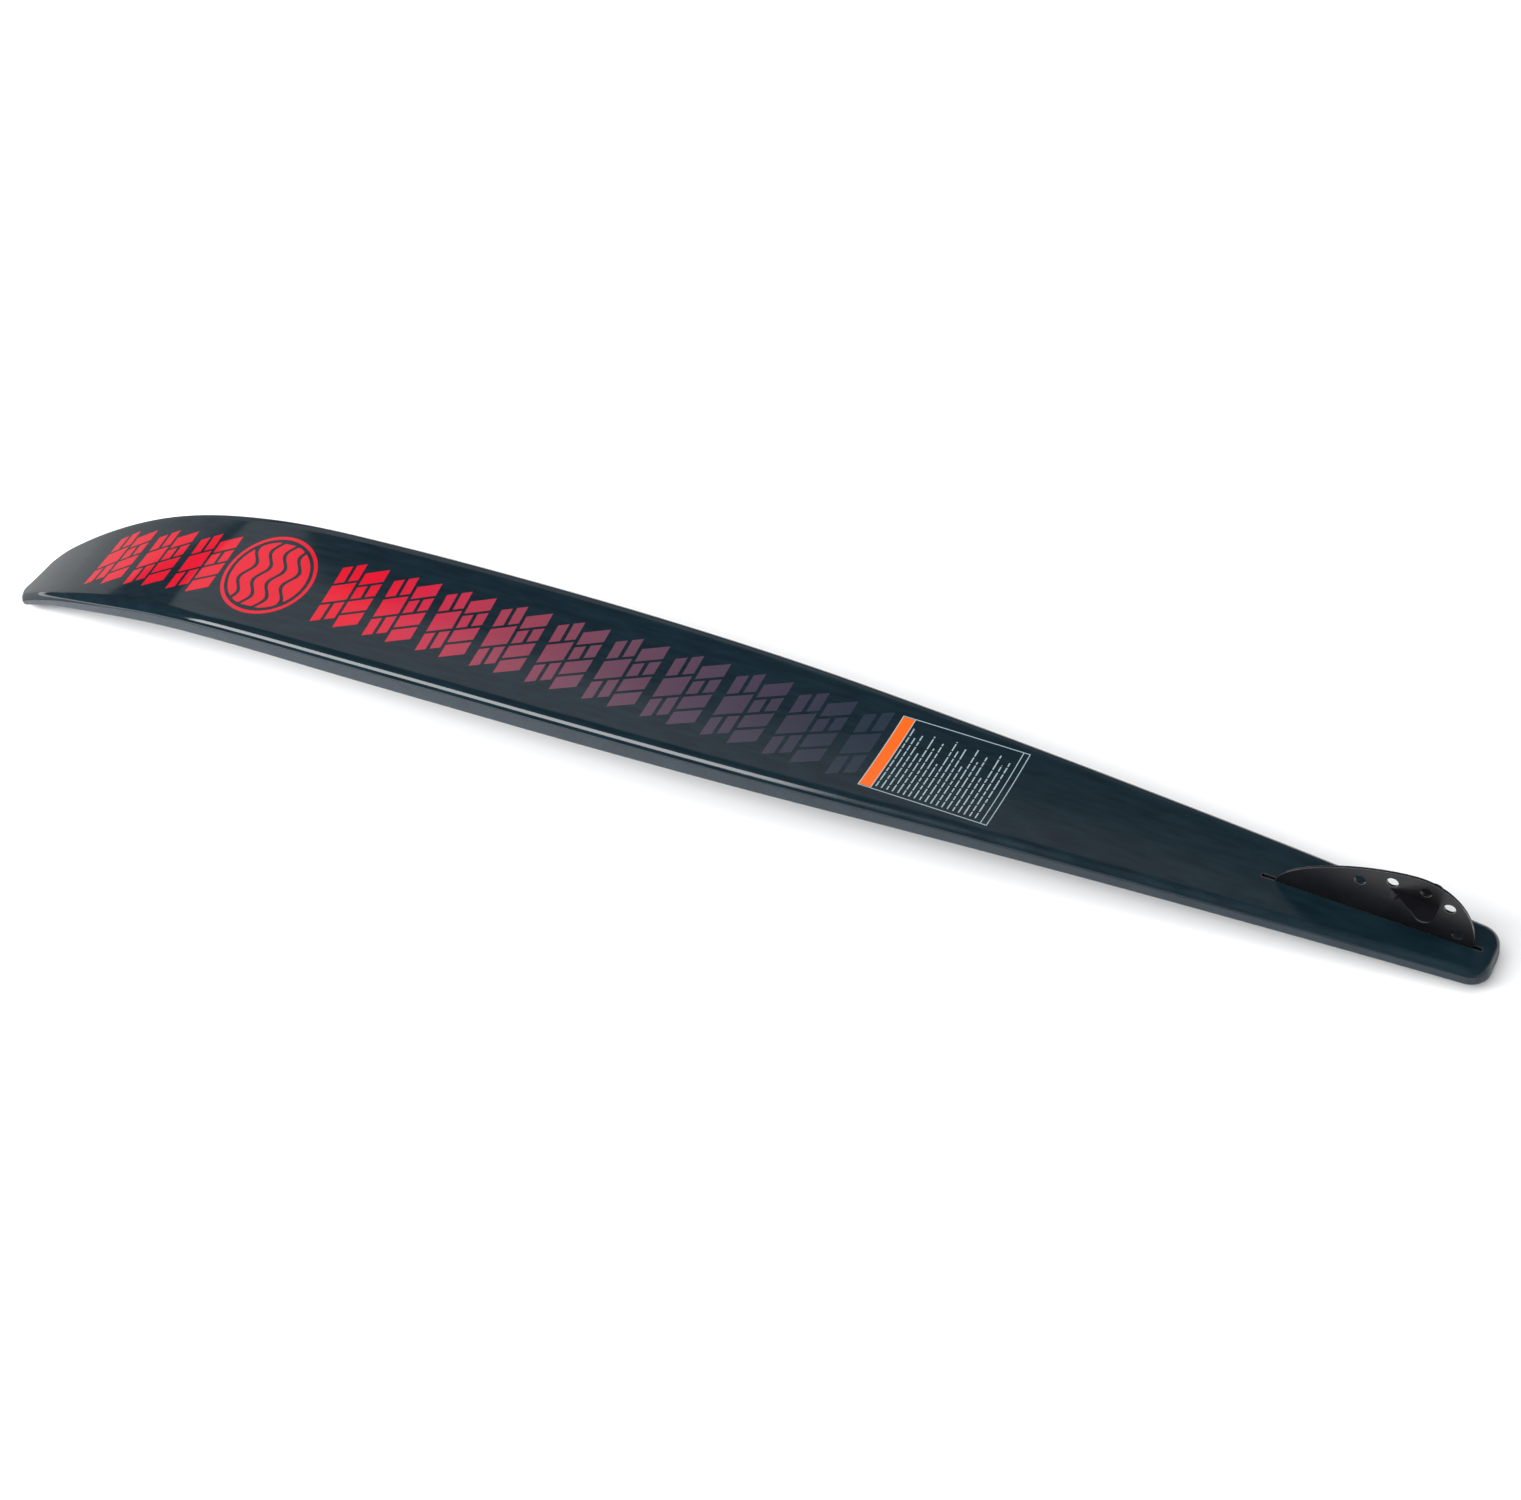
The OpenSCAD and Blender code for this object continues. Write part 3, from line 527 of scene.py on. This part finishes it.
def shells():
    """Hollow base and deck laminates, with the fin block's pad, the fin's slot and the screw holes."""
    places = sections()
    bases = [base_profile(s, 0, SEAM_CHAMFER) for s in places]
    base = loft("base_skin", bases, hollow(base_profile, places), places, "ski", BASE)
    decks = [deck_profile(s, 0, SEAM_CHAMFER) for s in places]
    deck = loft("deck_skin", decks, hollow(deck_profile, places), places, "ski", DECK)
    cut(deck, prism(stadium(PAD_ENDS, PAD_HALF), PAD_TOP, PAD_TOP + PAD_HEIGHT), AT_FIN, "UNION")
    for shell in (base, deck):
        slot = prism(stadium(LINER_ENDS, LINER_HALF + LINER_GAP), -2 * TAIL_THICKNESS, TAIL_THICKNESS)
        cut(shell, slot, AT_FIN)
    for distance in SCREW_PLACES:
        for side in (-1, 1):
            cut(deck, prism(circle(SCREW_HOLE, -distance, side * SCREW_Y), *SCREW_HOLE_SPAN), AT_FIN)
    for rows, span in ((FRONT_ROWS, FRONT_SPAN), (REAR_ROWS, REAR_SPAN)):
        reach = math.hypot(rows[1] - rows[0], deck_z(rows[1]) - deck_z(rows[0])) / 2
        for x in (-reach, reach):
            for y in (-span / 2, span / 2):
                cut(deck, prism(circle(INSERT_HOLE, x, y), *INSERT_HOLE_SPAN), on_deck(rows))
    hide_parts("base_shell")
    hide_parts("top_shell")


# ---- printed graphics: thin films that follow the base -------------------------------------------

FILM_LIFT = 0.12
FILM_STEP = 5.0


def film(name, patches, material):
    """One piece from four-sided patches, each given by its corners (s, y), which follow the base."""
    verts = []
    faces = []
    for a, b, c, d in patches:
        long = max(math.dist(a, b), math.dist(d, c))
        wide = max(math.dist(a, d), math.dist(b, c))
        nu = max(1, math.ceil(long / FILM_STEP))
        nv = max(1, math.ceil(wide / FILM_STEP))
        start = len(verts)
        for j in range(nv + 1):
            for i in range(nu + 1):
                u, v = i / nu, j / nv
                s, y = (a[k] * (1 - u) * (1 - v) + b[k] * u * (1 - v) + c[k] * u * v + d[k] * (1 - u) * v
                        for k in (0, 1))
                verts.append((s, y, base_height(s, y) + FILM_LIFT))
        faces += [(start + j * (nu + 1) + i, start + j * (nu + 1) + i + 1,
                   start + (j + 1) * (nu + 1) + i + 1, start + (j + 1) * (nu + 1) + i)
                  for j in range(nv) for i in range(nu)]
    obj = piece(name, verts, faces, "ski", material)


def box_patch(s0, s1, y0, y1):
    return ((s0, y0), (s1, y0), (s1, y1), (s0, y1))


FIRST_BLOCK = 144
BLOCK_PITCH = 68.2
BLOCK_COUNT = 15
BAR = 26
BAR_GAP = 4
BAR_HALF = 41
TILE_SLANT = 0.5
LEAN = 0.2
LEAN_FADE = 514
PRINT_GAP = 3
EMBLEM_S = 402
EMBLEM_R = 59
PANEL_ENDS = (1133.5, 1263)
PANEL_HALF = 46.5


def leaning(s, y):
    """The print's bars lean back towards the tail on the -Y side, less and less towards the panel."""
    return s - LEAN * min(1, (PANEL_ENDS[0] - s) / LEAN_FADE) * y


def bar_patches(s, pattern):
    """A bar across the ski at s, as slanted tiles; pattern lists (y start, y end, from, to) shares."""
    patches = []
    for y0, y1, low, high in pattern:
        corners = []
        for y, share in ((y0, low), (y0, high), (y1, high), (y1, low)):
            across = BAR_HALF * (2 * y - 1) + TILE_SLANT * BAR * (share - 0.5)
            corners.append((leaning(s + BAR * share, across), across))
        patches.append(tuple(corners))
    return patches


# Tiles of the two bars of a block: shares across the ski, and along it
THREE_ROWS = ((0.0, 0.30, 0.0, 0.42), (0.0, 0.30, 0.58, 1.0), (0.345, 0.66, 0.0, 1.0),
              (0.705, 1.0, 0.0, 0.42), (0.705, 1.0, 0.58, 1.0))
FOUR_ROWS = ((0.0, 0.22, 0.0, 1.0), (0.265, 0.48, 0.0, 1.0),
             (0.525, 0.74, 0.0, 0.42), (0.525, 0.74, 0.58, 1.0), (0.785, 1.0, 0.0, 1.0))


def stripes():
    """Blocks of tiles along the base, left out where they would touch the emblem or the panel."""
    patches = []
    for i in range(BLOCK_COUNT):
        start = FIRST_BLOCK + BLOCK_PITCH * i
        for pattern, s in ((THREE_ROWS, start), (FOUR_ROWS, start + BAR + BAR_GAP)):
            for patch in bar_patches(s, pattern):
                clear = all(math.dist(p, (EMBLEM_S, 0)) > EMBLEM_R + PRINT_GAP for p in patch)
                if clear and max(p[0] for p in patch) < PANEL_ENDS[0] - PRINT_GAP:
                    patches.append(patch)
    ink = graphic_ink("stripe_ink", (
        (0.31, (0.54, 0.003, 0.018)), (0.36, (0.42, 0.016, 0.045)), (0.41, (0.24, 0.035, 0.062)),
        (0.48, (0.115, 0.045, 0.073)), (0.56, (0.055, 0.038, 0.064)), (0.645, (0.017, 0.026, 0.040))))
    film("stripe_graphics", patches, ink)


def arc_patches(inner, outer, steps=96):
    """A ring round the emblem's centre."""
    patches = []
    for i in range(steps):
        a0, a1 = (2 * math.pi * (i + j) / steps for j in (0, 1))
        corners = ((inner, a0), (outer, a0), (outer, a1), (inner, a1))
        patches.append(tuple((EMBLEM_S + r * math.cos(a), r * math.sin(a)) for r, a in corners))
    return patches


def wave_s(k, y):
    """Middle line of the wave k that cuts the emblem's disc."""
    spacing = 20
    sway = 5.5
    wavelength = 44
    return EMBLEM_S + spacing * (k - 1.5) + sway * math.sin(2 * math.pi * y / wavelength)


def band_ends(k, y, disc):
    """The disc's band between the waves k and k + 1; the first and the last band end at its rim."""
    gap = 5
    reach = math.sqrt(max(0, disc**2 - y**2))
    low = EMBLEM_S - reach if k < 0 else max(EMBLEM_S - reach, wave_s(k, y) + gap / 2)
    high = EMBLEM_S + reach if k > 2 else min(EMBLEM_S + reach, wave_s(k + 1, y) - gap / 2)
    return low, high


def emblem():
    """Plain round motif: a ring round a disc that is cut by waves."""
    ring_width = 4.5
    disc = EMBLEM_R - 2 * ring_width
    rows = 60
    least_width = 0.3
    bands = []
    for k in range(-1, 4):
        for i in range(rows):
            y0, y1 = (disc * (2 * (i + j) / rows - 1) for j in (0, 1))
            (l0, h0), (l1, h1) = (band_ends(k, y, disc) for y in (y0, y1))
            if min(h0 - l0, h1 - l1) > least_width:
                bands.append(((l0, y0), (h0, y0), (h1, y1), (l1, y1)))
    patches = arc_patches(EMBLEM_R - ring_width, EMBLEM_R) + bands
    leant = [tuple((leaning(s, y), y) for s, y in patch) for patch in patches]
    film("round_motif", leant, plain_ink("emblem_ink", (0.54, 0.003, 0.017)))


def dash_patches(start, end):
    """Rows of plain dashes across the panel, of uneven length."""
    rows = 19
    thick = 1.3
    space = 1.5
    edge = PANEL_HALF - 4
    row_shares = (0.92, 0.8, 0.86, 0.62, 0.9, 0.74, 0.84, 0.55)
    dash_lengths = (7, 11, 5, 9, 13, 6)
    patches = []
    for row in range(rows):
        s = start + (end - start) / rows * row
        row_end = -edge + 2 * edge * row_shares[row % len(row_shares)]
        y = -edge
        k = row
        while y < row_end:
            stop = min(y + dash_lengths[k % len(dash_lengths)], row_end)
            patches.append(box_patch(s, s + thick, y, stop))
            y = stop + space
            k += 1
    return patches


def panel():
    """Plain information panel: an orange band, a thin outline and rows of plain dashes."""
    start, end = PANEL_ENDS
    band_end = start + 12.5
    line = 0.9
    foot = 7
    first_row = band_end + 3.5
    last_row_end = end - 8.5
    band = box_patch(start + line, band_end, -PANEL_HALF + line, PANEL_HALF - line)
    film("panel_band", [band], plain_ink("band_ink", (0.9, 0.12, 0.008)))

    lines = [box_patch(start, end, side * PANEL_HALF - line / 2, side * PANEL_HALF + line / 2)
             for side in (-1, 1)]
    lines += [box_patch(s, s + line, -PANEL_HALF, PANEL_HALF)
              for s in (start, band_end, end - foot, end - line)]
    lines += dash_patches(first_row, last_row_end)
    film("panel_lines", lines, plain_ink("pale_ink", (0.30, 0.40, 0.43)))


# ---- CAD nodes that keep their shape --------------------------------------------------------------

FINISHES = {
    "foam_core": FOAM, "front_insert_plate": PLATE, "rear_insert_plate": PLATE, "fin_insert_plate": PLATE,
    "front_binding_inserts": BRASS, "rear_binding_inserts": BRASS, "fin_block_inserts": BRASS,
    "slot_liner": LINER, "fin_rail_left": BLACK, "fin_rail_right": BLACK, "rail_screws": STEEL,
    "front_bridge": GREY, "rear_bridge": GREY, "bridge_screws": STEEL, "pinch_bolts": STEEL,
    "pinch_nuts": STEEL, "fin_carriage": GREY, "fore_aft_screw": STEEL, "front_depth_screw": STEEL,
    "rear_depth_screw": STEEL, "fin_blade": BLACK, "front_depth_nut": GREY, "rear_depth_nut": GREY,
    "wing_left": BLACK, "wing_right": BLACK, "wing_pivot_screw": BLACK_STEEL,
    "wing_pivot_nut": BLACK_STEEL, "wing_lock_screw": BLACK_STEEL, "wing_lock_nut": BLACK_STEEL,
}
# Bevel widths in millimetres of the edges that catch the light, and whether their bevel faces get the paler
# metal of a painted edge highlight
BEVELS = {
    "fin_blade": (0.2, True), "wing_left": (0.2, True), "wing_right": (0.2, True),
    "fin_rail_left": (0.3, False), "fin_rail_right": (0.3, False), "fin_carriage": (0.3, False),
    "front_bridge": (0.3, False), "rear_bridge": (0.3, False), "rail_screws": (0.25, False),
    "pinch_bolts": (0.25, False), "bridge_screws": (0.2, False), "fore_aft_screw": (0.3, False),
    "pinch_nuts": (0.25, False), "wing_pivot_screw": (0.2, False), "wing_lock_screw": (0.2, False),
    "wing_pivot_nut": (0.2, False), "wing_lock_nut": (0.2, False), "slot_liner": (0.2, False),
}


def finish_nodes():
    """Gives each node its material, and those in BEVELS a bevel on their sharp edges."""
    for name, material in FINISHES.items():
        node = NODES[name]
        node.data.materials.clear()
        node.data.materials.append(material)
    for name, (width, painted_highlight) in BEVELS.items():
        node = NODES[name]
        weld = node.modifiers.new("weld", "WELD")
        weld.merge_threshold = 0.000005
        bevel = node.modifiers.new("edges", "BEVEL")
        bevel.width = width * MM
        bevel.segments = 2
        bevel.limit_method = "ANGLE"
        bevel.angle_limit = math.radians(35)
        # The bevel faces get the paler metal, a painted highlight along the edge
        if painted_highlight:
            node.data.materials.append(PAINTED_EDGE_HIGHLIGHT)
            bevel.material = 1


# ---- stage, lights and camera -------------------------------------------------------------------

def stage():
    """Pale floor of paper."""
    mesh = bpy.data.meshes.new("floor")
    reach = 9
    mesh.from_pydata([(-reach, -reach, 0), (reach, -reach, 0), (reach, reach, 0), (-reach, reach, 0)], [],
                     [(0, 1, 2, 3)])
    floor = bpy.data.objects.new("floor", mesh)
    bpy.context.collection.objects.link(floor)
    paper = Shader("pale_floor", (0.94, 0.94, 0.94), 1.0)
    paper.link(paper.ramp(paper.noise(3), ((0.3, (0.93,) * 3), (0.7, (0.95,) * 3))), "Base Color")
    paper.bsdf.inputs["Specular IOR Level"].default_value = 0
    mesh.materials.append(paper.material)


def softbox(name, place, target, size, level):
    """Area light of a size in metres that looks as bright as the level."""
    light = bpy.data.lights.new(name, "AREA")
    light.shape = "RECTANGLE"
    light.size, light.size_y = size
    light.energy = level * math.pi * size[0] * size[1]
    obj = bpy.data.objects.new(name, light)
    bpy.context.collection.objects.link(obj)
    obj.location = place
    obj.rotation_euler = (Vector(target) - Vector(place)).to_track_quat("-Z", "Y").to_euler()
    obj.visible_camera = False


def glowing_card(name, corners, material):
    """Flat card that is seen only in the gloss of the ski."""
    mesh = bpy.data.meshes.new(name)
    mesh.from_pydata(corners, [], [range(len(corners))])
    mesh.materials.append(material)
    card = bpy.data.objects.new(name, mesh)
    bpy.context.collection.objects.link(card)
    card.visible_camera = False
    card.visible_diffuse = False
    card.visible_shadow = False


def reflector():
    """Upright card beyond the tip, and one that lies on the floor between it and the tip."""
    glow = Shader("reflector_glow", (0, 0, 0), 1.0)
    height = glow.nodes.new("ShaderNodeSeparateXYZ")
    glow.links.new(glow.place, height.inputs["Vector"])
    glow.bsdf.inputs["Emission Color"].default_value = (1, 1, 1, 1)
    glow.link(glow.spread(height.outputs["Z"], (0, 0.5), (0.48, 0.36)), "Emission Strength")
    upright_x = -1.6
    reach = 3
    lying_z = 0.002
    edge_yz = [(0.27, 0), (0.43, 0.23), (0.55, 0.4), (0.72, 0.74), (reach, 0.74), (reach, 0)]
    glowing_card("tip_reflector", [(upright_x, y, z) for y, z in edge_yz], glow.material)
    lying_xy = [(-0.88, -0.3), (-0.88, reach), (upright_x, reach), (upright_x, -0.3)]
    glowing_card("floor_reflector", [(x, y, lying_z) for x, y in lying_xy], glow.material)


def lights():
    """Soft light from above, and two banks that show as bands in the gloss of the base."""
    sun = bpy.data.lights.new("overhead", "SUN")
    sun.energy = 3.4
    sun.angle = math.radians(70)
    overhead = bpy.data.objects.new("overhead", sun)
    bpy.context.collection.objects.link(overhead)
    overhead.rotation_euler = (math.radians(26), 0, 0)
    overhead.visible_glossy = False

    softbox("far_bank", (-1.55, 2.0, 2.12), (-1.55, 0, 2.12), (4.3, 0.84), 0.48)
    softbox("near_bank", (-1.7, -1.6, 1.7), (-1.7, 0, 0.5), (2.65, 1.1), 9)

    world = bpy.data.worlds.new("studio")
    world.use_nodes = True
    world.node_tree.nodes["Background"].inputs["Color"].default_value = (0.065, 0.07, 0.08, 1)
    bpy.context.scene.world = world
    bpy.context.scene.view_settings.view_transform = "Standard"


# The camera's place, the directions ahead of it and to its right, and its lens in millimetres
CAMERA_PLACE = (1.2192, -1.2912, 1.6174)
CAMERA_AHEAD = (-0.46728, 0.5605, -0.68373)
CAMERA_RIGHT = (0.85504, 0.4832, -0.18824)
CAMERA_LENS = 56.65


def camera():
    data = bpy.data.cameras.new("camera")
    data.lens = CAMERA_LENS
    data.sensor_width = 36
    obj = bpy.data.objects.new("camera", data)
    bpy.context.collection.objects.link(obj)
    right = Vector(CAMERA_RIGHT).normalized()
    back = -Vector(CAMERA_AHEAD).normalized()
    up = back.cross(right)
    turn = Matrix((right, up, back)).transposed().to_4x4()
    obj.matrix_world = Matrix.Translation(CAMERA_PLACE) @ turn
    bpy.context.scene.camera = obj


shells()
stripes()
emblem()
panel()
finish_nodes()
stage()
reflector()
lights()
camera()
